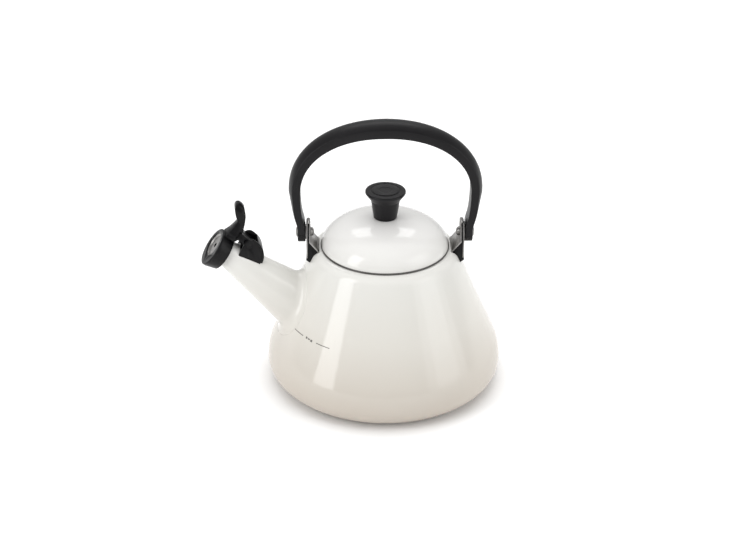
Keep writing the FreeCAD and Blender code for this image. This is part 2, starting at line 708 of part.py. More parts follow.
def make_whistle_clip():
    inner = CHEEK_OUT - CHEEK_T / 2
    block = slab(fin_outline(0), V(0, 2 * CHEEK_OUT, 0), V(0, -CHEEK_OUT, 0))
    block = block.fuse(slab(fin_outline(HOOD_BULGE), V(0, 2 * inner, 0), V(0, -inner, 0)))
    floor_top = spout_cone(-CLIP_FLOOR_T, CLIP_BACK_S - 5, CLIP_FRONT_S + 15)
    hollow = hood_inside().cut(floor_top)
    clip = block.cut(hollow)
    clip = clip.cut(spout_cone(-WELD_GAP, CLIP_BACK_S - 5, CLIP_FRONT_S + 15))
    above = Part.makeBox(60, 60, 60, V(CLIP_BACK_S - 10, -30, CLIP_LOW_N))
    clip = clip.common(above)
    clip = clip.cut(rod(PIN_R + PIN_GAP, V(PIN_S, -CHEEK_OUT - 1, PIN_N), Y, 2 * CHEEK_OUT + 2))
    clip = clip.cut(rod(STUD_R + THREAD_GAP, V(STUD_S, 0, 0), Z, PIN_N))
    return from_spout_frame(clip)


def stud_foot_n():
    return spout_radius(STUD_S)


def make_clip_stud():
    stud = rod(STUD_R, V(STUD_S, 0, stud_foot_n() - 2), Z, STUD_H + 2)
    return from_spout_frame(stud.cut(spout_cone(0, CLIP_BACK_S - 5, CLIP_FRONT_S)))


def make_clip_nut():
    """Hexagon nut resting on the clip's floor."""
    low = spout_radius(STUD_S - NUT_FLATS / 2) + CLIP_FLOOR_T + 0.25
    points = []
    for corner in range(6):
        angle = math.radians(60 * corner + 30)
        reach = NUT_FLATS / math.sqrt(3)
        points.append(V(STUD_S + reach * math.cos(angle), reach * math.sin(angle), low))
    nut = slab(polygon(points), Z * NUT_H, O)
    return from_spout_frame(nut.cut(rod(STUD_R + THREAD_GAP, V(STUD_S, 0, 0), Z, 40)))


def make_hinge_pin():
    return from_spout_frame(rod(PIN_R, V(PIN_S, -CHEEK_OUT + 0.1, PIN_N), Y, 2 * CHEEK_OUT - 0.2))


# ---- whistle cap, drawn about the mouth (x down, z outwards) and in the spout's frame ----
def about_cap_axis(edges, drop=CAP_DROP):
    """Solid of revolution about an axis that lies below the spout's by drop."""
    return from_mouth_frame(spin(edges).translated(V(drop, 0, 0)))


OUTER_SEAT = CAP_FACE - OUTER_DISC_DEPTH
INNER_SEAT = SEAT_GAP + DISC_T + DISC_GAP


def make_cup():
    """The cap's cup: skirt round the mouth, thick face with a chamber and two disc seats."""
    cup = about_cap_axis([
        line(rz(0, -CAP_SKIRT), rz(CAP_BACK_R, -CAP_SKIRT)),
        line(rz(CAP_BACK_R, -CAP_SKIRT), rz(CAP_R, CAP_FACE - 2.6)),
        line(rz(CAP_R, CAP_FACE - 2.6), rz(CAP_R, CAP_FACE - FACE_ROUND)),
        round_arc(rz(CAP_R - FACE_ROUND, CAP_FACE - FACE_ROUND), FACE_ROUND, 0, 90),
        line(rz(CAP_R - FACE_ROUND, CAP_FACE), rz(0, CAP_FACE)),
        line(rz(0, CAP_FACE), rz(0, -CAP_SKIRT)),
    ])
    seats = about_cap_axis(polygon([
        rz(0, SEAT_GAP - 1), rz(INNER_DISC_R + DISC_GAP, SEAT_GAP - 1),
        rz(INNER_DISC_R + DISC_GAP, INNER_SEAT), rz(CHAMBER_R, INNER_SEAT), rz(CHAMBER_R, OUTER_SEAT),
        rz(OUTER_DISC_R + DISC_GAP, OUTER_SEAT), rz(OUTER_DISC_R + DISC_GAP, CAP_FACE + 1),
        rz(0, CAP_FACE + 1)]), DISC_DROP)
    return cup.cut(seats)


def lever_side():
    """Side view of the lever: broad root on the cap, waist, then a leaf curving upwards."""
    root_foot = by_pin(12, -5.2)
    root_front = by_pin(20.3, -5.2)
    waist_front = by_pin(19.5, 10)
    leaf_front = by_pin(28.5, 17.4)
    tip = by_pin(28.7, 23.4)
    leaf_back = by_pin(20.9, 20.6)
    waist_back = by_pin(16.7, 16)
    root_back = by_pin(10.5, 4.4)
    return [
        line(root_foot, root_front),
        arc(root_front, by_pin(19.3, 2.6), waist_front),
        arc(waist_front, by_pin(23.1, 12.2), leaf_front),
        arc(leaf_front, by_pin(29.7, 20.6), tip),
        arc(tip, by_pin(24.9, 23.2), leaf_back),
        arc(leaf_back, by_pin(18.7, 18.6), waist_back),
        arc(waist_back, by_pin(13.1, 10.4), root_back),
        line(root_back, by_pin(10.1, -PIN_TO_ARM_UNDER)),
        line(by_pin(10.1, -PIN_TO_ARM_UNDER), root_foot),
    ]


def lever_front():
    """Front view of the lever, in widths across the spout: root, waist and pointed leaf."""
    root = LEVER_BASE_W / 2
    waist = LEVER_WAIST_W / 2
    leaf = LEVER_LEAF_W / 2
    left = [V(0, root, -7.8), V(0, root, -3.8), V(0, 0.8 * root, 0.2), V(0, waist, 9.7), V(0, waist, 11.7),
            V(0, leaf, 18), V(0, 0.84 * leaf, 21.2), V(0, 0.2 * leaf, 24.6)]
    right = [V(0, -point.y, point.z) for point in reversed(left)]
    return slab(polygon(left + right), X * 60, by_pin(0, 0))


def make_lever():
    wide = LEVER_BASE_W + 2
    side = slab(lever_side(), V(0, wide, 0), V(0, -wide / 2, 0))
    return side.common(lever_front())


def make_arm():
    """Arm from the lever's root to the barrel on the hinge pin."""
    width = 2 * (CHEEK_OUT - CHEEK_T - ARM_GAP)
    outline = [
        rz(PIN_S + 0.4, PIN_N - BARREL_R), by_pin(6.5, -PIN_TO_ARM_UNDER), by_pin(12, -PIN_TO_ARM_UNDER),
        by_pin(12, ARM_T - PIN_TO_ARM_UNDER), rz(PIN_S - 0.2, PIN_N + BARREL_R)]
    arm = slab(polygon(outline), V(0, width, 0), V(0, -width / 2, 0))
    barrel = rod(BARREL_R, V(PIN_S, -width / 2, PIN_N), Y, width)
    return arm.fuse(barrel)


def make_whistle_cap():
    cap = make_cup().fuse([make_lever(), make_arm()])
    hollow = about_cap_axis(polygon([
        rz(0, -CAP_SKIRT - 5), rz(CAP_BORE_R, -CAP_SKIRT - 5), rz(CAP_BORE_R, SEAT_GAP),
        rz(0, SEAT_GAP)]))
    cap = cap.cut(hollow)
    width = 2 * CHEEK_OUT
    cap = cap.cut(rod(PIN_R + PIN_GAP, V(PIN_S, -width / 2, PIN_N), Y, width))
    return from_spout_frame(cap.removeSplitter())


def make_outer_disc():
    """Pressed dish: flat floor with the sounding hole, a groove and a rim turned outwards."""
    low = OUTER_SEAT + DISC_GAP
    top = CAP_FACE - 0.4
    r = OUTER_DISC_R
    disc = about_cap_axis(polygon([
        rz(SOUND_HOLE_R, low), rz(r, low), rz(r, top), rz(r - DISC_T, top),
        rz(r - 1.6, low + DISC_T), rz(SOUND_HOLE_R, low + DISC_T)]), DISC_DROP)
    return from_spout_frame(disc)


def make_inner_disc():
    low = SEAT_GAP
    disc = about_cap_axis(polygon([
        rz(INNER_HOLE_R, low), rz(INNER_DISC_R, low), rz(INNER_DISC_R, low + DISC_T),
        rz(INNER_HOLE_R, low + DISC_T)]), DISC_DROP)
    return from_spout_frame(disc)


def save(name, shape):
    shape.exportStep("parts/" + name + ".step")


os.makedirs("parts", exist_ok=True)

save("body_shell", make_body_shell())
save("base_pan", make_base_pan())
save("spout", make_spout())

save("lid_shell", make_lid_shell())
save("lid_rim", make_lid_rim())
save("lid_collar", make_lid_collar())
save("lid_knob", make_lid_knob())
save("knob_washer", make_knob_washer())
save("knob_screw", make_knob_screw())

save("handle_bow", make_handle_bow())
for part_name, maker in (("bracket", make_bracket), ("heat_guard", make_heat_guard),
                         ("pivot_rivet", make_pivot_rivet), ("spring_washer", make_spring_washer),
                         ("spacer_washer", make_spacer_washer)):
    rear = maker()
    save("rear_" + part_name, rear)
    save("front_" + part_name, mirrored(rear))

save("whistle_clip", make_whistle_clip())
save("clip_stud", make_clip_stud())
save("clip_nut", make_clip_nut())
save("whistle_hinge_pin", make_hinge_pin())
save("whistle_cap", make_whistle_cap())
save("whistle_outer_disc", make_outer_disc())
save("whistle_inner_disc", make_inner_disc())
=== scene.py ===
"""Stovetop whistling kettle: cream enamel body and lid, black moulded grips, stainless fittings.

Metres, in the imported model's frame. Sizes written in millimetres are turned to metres by MM.
"""
import json
import math

import bmesh
import bpy
from mathutils import Matrix, Vector


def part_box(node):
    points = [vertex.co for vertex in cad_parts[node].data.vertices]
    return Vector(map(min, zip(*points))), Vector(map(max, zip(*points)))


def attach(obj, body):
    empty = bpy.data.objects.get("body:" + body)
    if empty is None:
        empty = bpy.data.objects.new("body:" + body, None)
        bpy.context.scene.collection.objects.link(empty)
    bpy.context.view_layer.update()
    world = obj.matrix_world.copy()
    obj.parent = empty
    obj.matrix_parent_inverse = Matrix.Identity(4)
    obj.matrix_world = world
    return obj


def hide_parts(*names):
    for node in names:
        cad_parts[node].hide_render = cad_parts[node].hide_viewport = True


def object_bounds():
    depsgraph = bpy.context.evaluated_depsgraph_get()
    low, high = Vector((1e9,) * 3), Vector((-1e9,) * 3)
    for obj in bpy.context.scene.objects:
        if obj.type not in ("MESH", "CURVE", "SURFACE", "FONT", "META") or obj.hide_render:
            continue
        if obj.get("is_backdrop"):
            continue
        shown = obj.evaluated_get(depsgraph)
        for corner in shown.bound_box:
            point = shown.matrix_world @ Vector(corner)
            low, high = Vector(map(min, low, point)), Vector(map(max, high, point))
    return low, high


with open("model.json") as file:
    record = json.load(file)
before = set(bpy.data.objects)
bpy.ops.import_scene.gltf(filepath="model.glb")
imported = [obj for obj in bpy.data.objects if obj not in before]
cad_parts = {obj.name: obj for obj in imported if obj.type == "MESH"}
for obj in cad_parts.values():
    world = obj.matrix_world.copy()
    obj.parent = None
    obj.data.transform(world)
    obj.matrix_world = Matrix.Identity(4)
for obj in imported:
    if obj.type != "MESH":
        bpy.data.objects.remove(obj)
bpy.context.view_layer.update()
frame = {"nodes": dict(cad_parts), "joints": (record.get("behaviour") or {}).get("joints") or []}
scene = bpy.context.scene
MM = 0.001

# ======== Enamelled body ========
# Deep-drawn steel cone, 1.2 mm thick, with the base pan welded in under it at the widest part and
# ground flush. The whole vessel is dipped and fired in a glossy cream enamel, coloured darker and
# warmer towards the base and lightened at the lid's height as painted light.

BODY_SHEET = 1.2
BODY_WIDEST_R = 96.5
BODY_WIDEST_Z = 17.7
BASE_FLAT_R = 74.1
BELLY_R = 50.6
CONE_ANGLE = math.radians(23.2)
RIM_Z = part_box("body_shell")[1].z / MM
SHOULDER_R = 9.5
MOUTH_R = 49.2
NECK_ROUND = 2.0
NECK_LOW = RIM_Z - 8.0
BASE_DISH_R = 66.0
BASE_DISH_RISE = 0.8


def linear_rgba(hex_colour):
    """sRGB hex to the linear colour that a shader socket takes."""
    out = []
    for start in (1, 3, 5):
        value = int(hex_colour[start:start + 2], 16) / 255
        out.append(value / 12.92 if value <= 0.04045 else ((value + 0.055) / 1.055) ** 2.4)
    return (*out, 1.0)


def add_node(tree, kind, settings=None, inputs=None):
    """Adds a node, sets its properties, and sets or links its inputs by name or number."""
    node = tree.nodes.new(kind)
    for name, value in (settings or {}).items():
        setattr(node, name, value)
    for key, value in (inputs or {}).items():
        if isinstance(value, bpy.types.NodeSocket):
            tree.links.new(value, node.inputs[key])
        else:
            node.inputs[key].default_value = value
    return node


def new_material(name):
    """An empty node material and its shader, with the object's own coordinates."""
    material = bpy.data.materials.new(name)
    material.use_nodes = True
    tree = material.node_tree
    tree.nodes.clear()
    shader = add_node(tree, "ShaderNodeBsdfPrincipled")
    add_node(tree, "ShaderNodeOutputMaterial", inputs={"Surface": shader.outputs["BSDF"]})
    place = add_node(tree, "ShaderNodeTexCoord").outputs["Object"]
    return material, tree, shader, place


def make_piece(name, vertices, faces, material, matrix=None, smooth=True):
    """A mesh object at the origin, its place in its mesh, with its normals outwards."""
    mesh = bpy.data.meshes.new(name)
    mesh.from_pydata([Vector(v) for v in vertices], [], faces)
    if matrix is not None:
        mesh.transform(matrix)
    work = bmesh.new()
    work.from_mesh(mesh)
    bmesh.ops.remove_doubles(work, verts=work.verts, dist=1e-7)
    bmesh.ops.recalc_face_normals(work, faces=work.faces)
    work.to_mesh(mesh)
    work.free()
    mesh.shade_smooth() if smooth else mesh.shade_flat()
    mesh.materials.append(material)
    piece = bpy.data.objects.new(name, mesh)
    scene.collection.objects.link(piece)
    return piece


def turned(profile, steps=160):
    """Vertices and faces of a closed (radius, height) outline in millimetres spun about Z."""
    vertices = []
    rings = []
    for radius, height in profile:
        if radius < 1e-6:
            rings.append([len(vertices)])
            vertices.append((0, 0, height * MM))
            continue
        rings.append(list(range(len(vertices), len(vertices) + steps)))
        for step in range(steps):
            turn = 2 * math.pi * step / steps
            vertices.append((radius * MM * math.cos(turn), radius * MM * math.sin(turn), height * MM))
    faces = []
    for first, second in zip(rings, rings[1:] + rings[:1]):
        for step in range(steps):
            after = (step + 1) % steps
            if len(first) == 1 and len(second) == 1:
                continue
            if len(first) == 1:
                faces.append((first[0], second[step], second[after]))
            elif len(second) == 1:
                faces.append((first[step], second[0], first[after]))
            else:
                faces.append((first[step], second[step], second[after], first[after]))
    return vertices, faces


def rounded(corners, closed=True, parts=6):
    """Outline through (x, y, radius) corners, each turned into a fillet of that radius."""
    points = []
    count = len(corners)
    for index, (x, y, radius) in enumerate(corners):
        here = Vector((x, y))
        if radius <= 0 or (not closed and index in (0, count - 1)):
            points.append((x, y))
            continue
        before = (Vector(corners[index - 1][:2]) - here).normalized()
        after = (Vector(corners[(index + 1) % count][:2]) - here).normalized()
        half = before.angle(after) / 2
        if half > math.radians(89):
            points.append((x, y))
            continue
        reach = radius / math.tan(half)
        middle = here + (before + after).normalized() * radius / math.sin(half)
        start = here + before * reach - middle
        end = here + after * reach - middle
        sweep = start.angle_signed(end)
        for part in range(parts + 1):
            turn = -sweep * part / parts
            spun = Vector((start.x * math.cos(turn) - start.y * math.sin(turn),
                           start.x * math.sin(turn) + start.y * math.cos(turn)))
            points.append(tuple(middle + spun))
    return points


def arc_points(x, y, radius, start, end, parts):
    """Points on an arc from one angle to another, in degrees."""
    out = []
    for part in range(parts + 1):
        turn = math.radians(start + (end - start) * part / parts)
        out.append((x + radius * math.cos(turn), y + radius * math.sin(turn)))
    return out


belly_x = BODY_WIDEST_R - BELLY_R
cone_level = belly_x * math.cos(CONE_ANGLE) + BODY_WIDEST_Z * math.sin(CONE_ANGLE) + BELLY_R
shoulder_z = RIM_Z - SHOULDER_R
shoulder_x = (cone_level - SHOULDER_R - math.sin(CONE_ANGLE) * shoulder_z) / math.cos(CONE_ANGLE)


def cone_radius(height):
    """Outer radius of the straight part of the body at a height."""
    return (cone_level - height * math.sin(CONE_ANGLE)) / math.cos(CONE_ANGLE)


def body_side(depth):
    """The body's side at a depth below its outer surface, from the base's edge to the shoulder."""
    points = []
    for part in range(17):
        turn = math.radians(-90 + 90 * part / 16)
        points.append((BASE_FLAT_R + (BODY_WIDEST_R - BASE_FLAT_R - depth) * math.cos(turn),
                       BODY_WIDEST_Z + (BODY_WIDEST_Z - depth) * math.sin(turn)))
    cone_degrees = math.degrees(CONE_ANGLE)
    points += arc_points(belly_x, BODY_WIDEST_Z, BELLY_R - depth, 0, cone_degrees, 8)[1:]
    shoulder = arc_points(shoulder_x, shoulder_z, SHOULDER_R - depth, cone_degrees, 90, 12)
    foot = Vector(points[-1])
    for part in range(1, 40):
        points.append(tuple(foot.lerp(Vector(shoulder[0]), part / 40)))
    return points + shoulder


neck_x = MOUTH_R + NECK_ROUND
outside = [(0, BASE_DISH_RISE), (BASE_DISH_R - 3, BASE_DISH_RISE), (BASE_DISH_R, 0)] + body_side(0)
outside += arc_points(neck_x, RIM_Z - NECK_ROUND, NECK_ROUND, 90, 180, 6)
outside += [(MOUTH_R, NECK_LOW), (MOUTH_R + BODY_SHEET / 2, NECK_LOW - 0.3), (MOUTH_R + BODY_SHEET, NECK_LOW)]
inside = [(0, BODY_SHEET + BASE_DISH_RISE), (BASE_DISH_R - 3, BODY_SHEET + BASE_DISH_RISE),
          (BASE_DISH_R, BODY_SHEET)] + body_side(BODY_SHEET)
inside += arc_points(neck_x, RIM_Z - NECK_ROUND, NECK_ROUND - BODY_SHEET, 90, 180, 4)
body_outline = outside + inside[::-1]


def make_enamel():
    """Vitreous enamel, fired on steel: a hard gloss glass coat, gently uneven, cream, darker and warmer
    towards the base, and lightened at the lid's height as painted light.

    The eye sees a sharp lamp reflection that wavers slightly over a pale, slightly warm ground.
    """
    material, tree, shader, place = new_material("vitreous_enamel_cream")
    split = add_node(tree, "ShaderNodeSeparateXYZ", inputs={0: place})
    cloud = add_node(tree, "ShaderNodeTexNoise", inputs={"Vector": place, "Scale": 9.0, "Detail": 2.0})
    lift = add_node(tree, "ShaderNodeMath", {"operation": "MULTIPLY_ADD"},
                    {0: cloud.outputs["Fac"], 1: 0.012, 2: split.outputs["Z"]})
    height = add_node(tree, "ShaderNodeMapRange", inputs={
        "Value": lift.outputs[0], "From Min": 0.004, "From Max": 0.146})
    ramp = add_node(tree, "ShaderNodeValToRGB", inputs={"Fac": height.outputs["Result"]})
    stops = ramp.color_ramp.elements
    # Height ramp: darker and warmer towards the base; the top stop, reached only on the lid, is lightened as
    # painted light.
    stops[0].position, stops[0].color = 0.0, linear_rgba("#B9AEA2")
    stops[1].position, stops[1].color = 1.0, linear_rgba("#DDDCDA")
    for position, colour in ((0.2, "#C0B9AF"), (0.5, "#CFCCC5"), (0.78, "#D4D3CE")):
        stop = stops.new(position)
        stop.color = linear_rgba(colour)
    tree.links.new(ramp.outputs["Color"], shader.inputs["Base Color"])
    mottle = add_node(tree, "ShaderNodeTexNoise", inputs={"Vector": place, "Scale": 40.0, "Detail": 3.0})
    rough = add_node(tree, "ShaderNodeMapRange", inputs={
        "Value": mottle.outputs["Fac"], "To Min": 0.07, "To Max": 0.13})
    tree.links.new(rough.outputs["Result"], shader.inputs["Roughness"])
    wave = add_node(tree, "ShaderNodeTexNoise", inputs={"Vector": place, "Scale": 55.0, "Detail": 1.0})
    bump = add_node(tree, "ShaderNodeBump", inputs={
        "Height": wave.outputs["Fac"], "Strength": 0.12, "Distance": 0.0006})
    tree.links.new(bump.outputs["Normal"], shader.inputs["Normal"])
    shader.inputs["IOR"].default_value = 1.5
    return material


enamel = make_enamel()
body_shell = make_piece("enamelled_body", *turned(body_outline, 192), enamel)

# ======== Spout ========
# Tapered steel tube pressed from sheet, welded to the body and enamelled with it. The weld is
# ground to a soft fillet, and the mouth's edge is turned over.

whistle_joint = [joint for joint in frame["joints"] if joint["name"] == "whistle_flip"][0]
SPOUT_RISE = math.radians(41.0)
SPOUT_LENGTH = 71.5
SPOUT_MOUTH_R = 9.7
SPOUT_TAPER = math.tan(math.radians(9.5))
PIN_S = 58.5
PIN_N = 17.8
MOUTH_TILT = math.radians(5.0)
WELD_FILLET = 7.0
WELD_PULL = 0.62
WELD_SINK = 0.03
LIP_ROUND = 0.6
spout_swing = math.atan2(-whistle_joint["axis"][0], whistle_joint["axis"][1])
spout_turn = Matrix.Rotation(math.pi + spout_swing, 4, "Z") @ Matrix.Rotation(-SPOUT_RISE, 4, "Y")
spout_frame = Matrix.Translation(
    Vector(whistle_joint["pos_m"]) - spout_turn @ Vector((PIN_S * MM, 0, PIN_N * MM))) @ spout_turn


def spout_radius(s):
    return SPOUT_MOUTH_R + (SPOUT_LENGTH - s) * SPOUT_TAPER


def spout_point(s, turn, extra=0.0):
    """A point on the spout's surface, or extra outside it, in metres."""
    radius = (spout_radius(s) + extra) * MM
    return spout_frame @ Vector((s * MM, radius * math.cos(turn), radius * math.sin(turn)))


def outside_body(point):
    """How far a point is outside the body's cone, in metres."""
    return math.hypot(point.x, point.y) - cone_radius(point.z / MM) * MM


def meets_body(turn, extra):
    """Where a line along the spout's surface meets the body's cone."""
    low, high = -20.0, 50.0
    for _ in range(40):
        middle = (low + high) / 2
        if outside_body(spout_point(middle, turn, extra)) < 0:
            low = middle
        else:
            high = middle
    return high


def mouth_cut(turn, extra=0.0):
    """How far along the spout its surface meets the mouth's tilted plane."""
    s = SPOUT_LENGTH
    for _ in range(6):
        up = (spout_radius(s) + extra) * math.sin(turn)
        s = SPOUT_LENGTH - up * math.tan(MOUTH_TILT)
    return s


SPOUT_STEPS = 128
spout_vertices = []
spout_rows = 0
for step in range(SPOUT_STEPS):
    turn = 2 * math.pi * step / SPOUT_STEPS
    s_meet = meets_body(turn, 0)
    meet = spout_point(s_meet, turn)
    foot = spout_point(meets_body(turn, WELD_FILLET), turn, WELD_FILLET)
    normal = Vector((foot.x, foot.y, 0)).normalized() * math.cos(CONE_ANGLE)
    normal.z = math.sin(CONE_ANGLE)
    foot = foot - normal * WELD_SINK * MM
    tangent_foot = meet - normal * (meet - foot).dot(normal)
    top = spout_point(s_meet + WELD_FILLET, turn)
    lean = foot + (tangent_foot - foot) * WELD_PULL
    rise = top + (meet - top) * WELD_PULL
    column = []
    for part in range(11):
        t = part / 10
        column.append(foot * (1 - t) ** 3 + lean * 3 * t * (1 - t) ** 2
                      + rise * 3 * t * t * (1 - t) + top * t ** 3)
    s_end = mouth_cut(turn) - LIP_ROUND
    for part in range(1, 15):
        straight = s_end - s_meet - WELD_FILLET
        column.append(spout_point(s_meet + WELD_FILLET + straight * part / 14, turn))
    for part in range(1, 9):
        bend = math.pi * part / 8
        column.append(spout_point(
            s_end + LIP_ROUND * math.sin(bend), turn, LIP_ROUND * math.cos(bend) - LIP_ROUND))
    for part in range(1, 13):
        column.append(spout_point(s_end + (s_meet - 4 - s_end) * part / 12, turn, -BODY_SHEET))
    spout_rows = len(column)
    spout_vertices += column
spout_faces = []
for step in range(SPOUT_STEPS):
    after = (step + 1) % SPOUT_STEPS
    for row in range(spout_rows):
        up = (row + 1) % spout_rows
        spout_faces.append((step * spout_rows + row, after * spout_rows + row,
                            after * spout_rows + up, step * spout_rows + up))
spout = make_piece("enamelled_spout", spout_vertices, spout_faces, enamel)

bore_steps = 64
bore_vertices = []
for s in (-20.0, 40.0):
    for step in range(bore_steps):
        bore_vertices.append(spout_point(s, 2 * math.pi * step / bore_steps, -BODY_SHEET - 0.05))
bore_faces = [tuple(range(bore_steps)), tuple(range(bore_steps, 2 * bore_steps))]
for step in range(bore_steps):
    after = (step + 1) % bore_steps
    bore_faces.append((step, after, after + bore_steps, step + bore_steps))
bore = make_piece("bore_cutter", bore_vertices, bore_faces, enamel)
cut = body_shell.modifiers.new("spout_hole", "BOOLEAN")
cut.operation = "DIFFERENCE"
cut.solver = "EXACT"
cut.object = bore
bpy.context.view_layer.update()


def bake_modifiers(piece):
    """Turns a piece's modifiers into its own plain mesh."""
    graph = bpy.context.evaluated_depsgraph_get()
    mesh = bpy.data.meshes.new_from_object(piece.evaluated_get(graph))
    piece.modifiers.clear()
    piece.data = mesh
    mesh.shade_smooth()


bake_modifiers(body_shell)
bpy.data.objects.remove(bore)
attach(body_shell, "kettle_body")
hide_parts("body_shell", "base_pan")
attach(spout, "kettle_body")
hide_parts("spout")

# ======== Fill line ========
# Dark ceramic ink fired into the enamel beside the spout: a thin line at the highest safe water
# level, broken round a small plain mark.

FILL_Z = 62.0
INK_LIFT = 0.03


def ink_tree():
    """Geometry nodes: a strip that follows the cone from one angle to another."""
    tree = bpy.data.node_groups.new("ink_strip", "GeometryNodeTree")
    tree.interface.new_socket("Geometry", in_out="OUTPUT", socket_type="NodeSocketGeometry")
    for name in ("Radius", "Height", "Cone Angle", "Start", "Sweep", "Width"):
        tree.interface.new_socket(name, in_out="INPUT", socket_type="NodeSocketFloat")
    tree.interface.new_socket("Ink", in_out="INPUT", socket_type="NodeSocketMaterial")
    given = add_node(tree, "NodeGroupInput").outputs
    grid = add_node(tree, "GeometryNodeMeshGrid", inputs={
        "Size X": 1.0, "Size Y": 1.0, "Vertices X": 25, "Vertices Y": 2})
    where = add_node(tree, "ShaderNodeSeparateXYZ", inputs={
        0: add_node(tree, "GeometryNodeInputPosition").outputs[0]})

    def maths(operation, first, second=0.0, third=0.0):
        return add_node(tree, "ShaderNodeMath", {"operation": operation},
                        {0: first, 1: second, 2: third}).outputs[0]

    along = maths("ADD", where.outputs["X"], 0.5)
    angle = maths("MULTIPLY_ADD", along, given["Sweep"], given["Start"])
    up = maths("MULTIPLY", where.outputs["Y"], given["Width"])
    radius = maths("SUBTRACT", given["Radius"], maths("MULTIPLY", up, maths("SINE", given["Cone Angle"])))
    z = maths("MULTIPLY_ADD", up, maths("COSINE", given["Cone Angle"]), given["Height"])
    place = add_node(tree, "ShaderNodeCombineXYZ", inputs={
        "X": maths("MULTIPLY", radius, maths("COSINE", angle)),
        "Y": maths("MULTIPLY", radius, maths("SINE", angle)), "Z": z})
    moved = add_node(tree, "GeometryNodeSetPosition", inputs={
        "Geometry": grid.outputs["Mesh"], "Position": place.outputs[0]})
    plain = add_node(tree, "GeometryNodeRealizeInstances", inputs={"Geometry": moved.outputs[0]})
    inked = add_node(tree, "GeometryNodeSetMaterial", inputs={
        "Geometry": plain.outputs[0], "Material": given["Ink"]})
    add_node(tree, "NodeGroupOutput", inputs={0: inked.outputs[0]})
    return tree


def make_ink():
    """Fired ceramic ink: dark grey, slightly uneven where it was wiped on, under the same gloss."""
    material, tree, shader, place = new_material("fired_ceramic_ink")
    worn = add_node(tree, "ShaderNodeTexNoise", inputs={"Vector": place, "Scale": 900.0})
    ramp = add_node(tree, "ShaderNodeValToRGB", inputs={"Fac": worn.outputs["Fac"]})
    ramp.color_ramp.elements[0].color = linear_rgba("#5E5B58")
    ramp.color_ramp.elements[1].color = linear_rgba("#7A7773")
    tree.links.new(ramp.outputs["Color"], shader.inputs["Base Color"])
    shader.inputs["Roughness"].default_value = 0.15
    return material


ink = make_ink()
ink_strip = ink_tree()


def socket_names(tree):
    """The identifier of each named input of a node group."""
    return {item.name: item.identifier for item in tree.interface.items_tree if item.in_out == "INPUT"}


ink_inputs = socket_names(ink_strip)
# start angle and sweep in degrees from +X, height above the line, and width, in millimetres
ink_marks = [(207.0, 9.0, 0.0, 0.7), (218.5, 1.3, 0.2, 1.7), (220.3, 1.7, 0.1, 1.1),
             (222.5, 1.5, -0.2, 1.8), (227.0, 9.5, 0.0, 0.7)]
ink_objects = []
for number, (start, sweep, above, width) in enumerate(ink_marks):
    mark = make_piece("ink_mark_" + str(number), [(0, 0, 0)], [], ink)
    modifier = mark.modifiers.new("strip", "NODES")
    modifier.node_group = ink_strip
    height = FILL_Z + above
    for name, value in (("Radius", (cone_radius(height) + INK_LIFT) * MM), ("Height", height * MM),
                        ("Cone Angle", CONE_ANGLE), ("Start", math.radians(start)),
                        ("Sweep", math.radians(sweep)), ("Width", width * MM), ("Ink", ink)):
        modifier[ink_inputs[name]] = value
    ink_objects.append(mark)
bpy.context.view_layer.update()
ink_vertices = []
ink_faces = []
for mark in ink_objects:
    bake_modifiers(mark)
    first = len(ink_vertices)
    ink_vertices += [tuple(v.co) for v in mark.data.vertices]
    ink_faces += [tuple(first + i for i in f.vertices) for f in mark.data.polygons]
    bpy.data.objects.remove(mark)
fill_line = make_piece("fill_line", ink_vertices, ink_faces, ink)
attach(fill_line, "kettle_body")

# ======== Lid ========
# Domed steel pressing, enamelled like the body, its cut edge capped by a thin stainless band, painted
# darker as reflection of the dark room and as shade in the gap under the lid. A stainless collar
# under it drops into the body's mouth.

LID_R = 51.5
LID_EDGE_Z = 119.8
LID_TOP_Z = 144.2
DOME_POWER = 2.3
LID_SHEET = 1.0
LID_SEAT_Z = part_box("lid_shell")[0].z / MM


def dome(depth, parts):
    """Curve, a little fuller than a quarter ellipse, from the lid's edge to its middle."""
    points = []
    for part in range(parts + 1):
        across = math.cos(math.pi / 2 * part / parts) if part < parts else 0.0
        points.append(((LID_R - depth) * across,
                       LID_EDGE_Z + (LID_TOP_Z - LID_EDGE_Z - depth) * math.sqrt(1 - across ** DOME_POWER)))
    return points


lid_outline = [(LID_R - LID_SHEET, LID_SEAT_Z), (LID_R, LID_SEAT_Z)] + dome(0, 48) + dome(LID_SHEET, 24)[::-1]
lid = make_piece("enamelled_lid", *turned(lid_outline, 192), enamel)
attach(lid, "lid")
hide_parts("lid_shell")


def make_steel(name, dark, light):
    """Stainless sheet with a rolled finish, in two greys: fine streaks that blur lamps into bars."""
    material, tree, shader, place = new_material(name)
    # 0.5 mm streaks, coarser than the real 0.05 mm so that they show
    stretch = add_node(tree, "ShaderNodeMapping", inputs={"Vector": place, "Scale": (90.0, 2000.0, 90.0)})
    streak = add_node(tree, "ShaderNodeTexNoise", inputs={
        "Vector": stretch.outputs[0], "Scale": 1.0, "Detail": 3.0})
    ramp = add_node(tree, "ShaderNodeValToRGB", inputs={"Fac": streak.outputs["Fac"]})
    ramp.color_ramp.elements[0].color = linear_rgba(dark)
    ramp.color_ramp.elements[1].color = linear_rgba(light)
    tree.links.new(ramp.outputs["Color"], shader.inputs["Base Color"])
    rough = add_node(tree, "ShaderNodeMapRange", inputs={
        "Value": streak.outputs["Fac"], "To Min": 0.24, "To Max": 0.36})
    tree.links.new(rough.outputs["Result"], shader.inputs["Roughness"])
    bump = add_node(tree, "ShaderNodeBump", inputs={
        "Height": streak.outputs["Fac"], "Strength": 0.1, "Distance": 0.0001})
    tree.links.new(bump.outputs["Normal"], shader.inputs["Normal"])
    shader.inputs["Metallic"].default_value = 1.0
    return material


